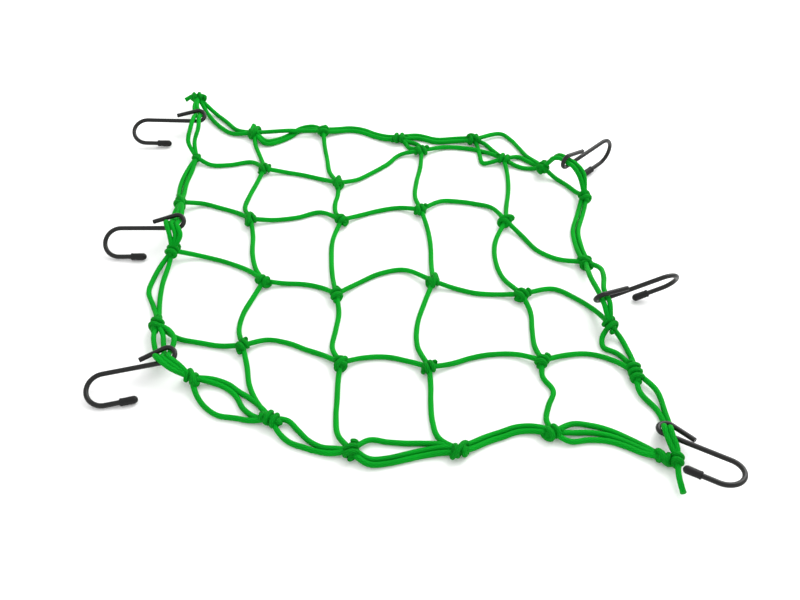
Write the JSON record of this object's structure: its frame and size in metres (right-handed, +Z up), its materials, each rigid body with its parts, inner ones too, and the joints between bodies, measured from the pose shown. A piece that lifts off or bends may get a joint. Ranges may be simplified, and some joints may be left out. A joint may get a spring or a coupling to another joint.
{
  "type": "luggage net",
  "caption": "Elastic luggage net lying spread out: an open mesh of knotted cord, a border of cords side by side and bent-wire hooks with soft tip caps.",
  "frame": {"origin": "middle of the outline, on the surface that the net lies on", "axes": "+Z up from the surface, +X to the right along the top border, +Y away from the bottom border"},
  "size_m": [0.4477, 0.4356, 0.0362],
  "materials": {
    "cord": "woven sheath",
    "wire": "satin coated",
    "cap": "smooth"
  },
  "bodies": {
    "root": {"net": "cord", "hook_top_left": "wire", "hook_mid_left": "wire", "hook_bottom_left": "wire", "hook_top_right": "wire", "hook_mid_right": "wire", "hook_bottom_right": "wire", "cap_top_left": "cap", "cap_mid_left": "cap", "cap_bottom_left": "cap", "cap_top_right": "cap", "cap_mid_right": "cap", "cap_bottom_right": "cap"}
  },
  "joints": []
}
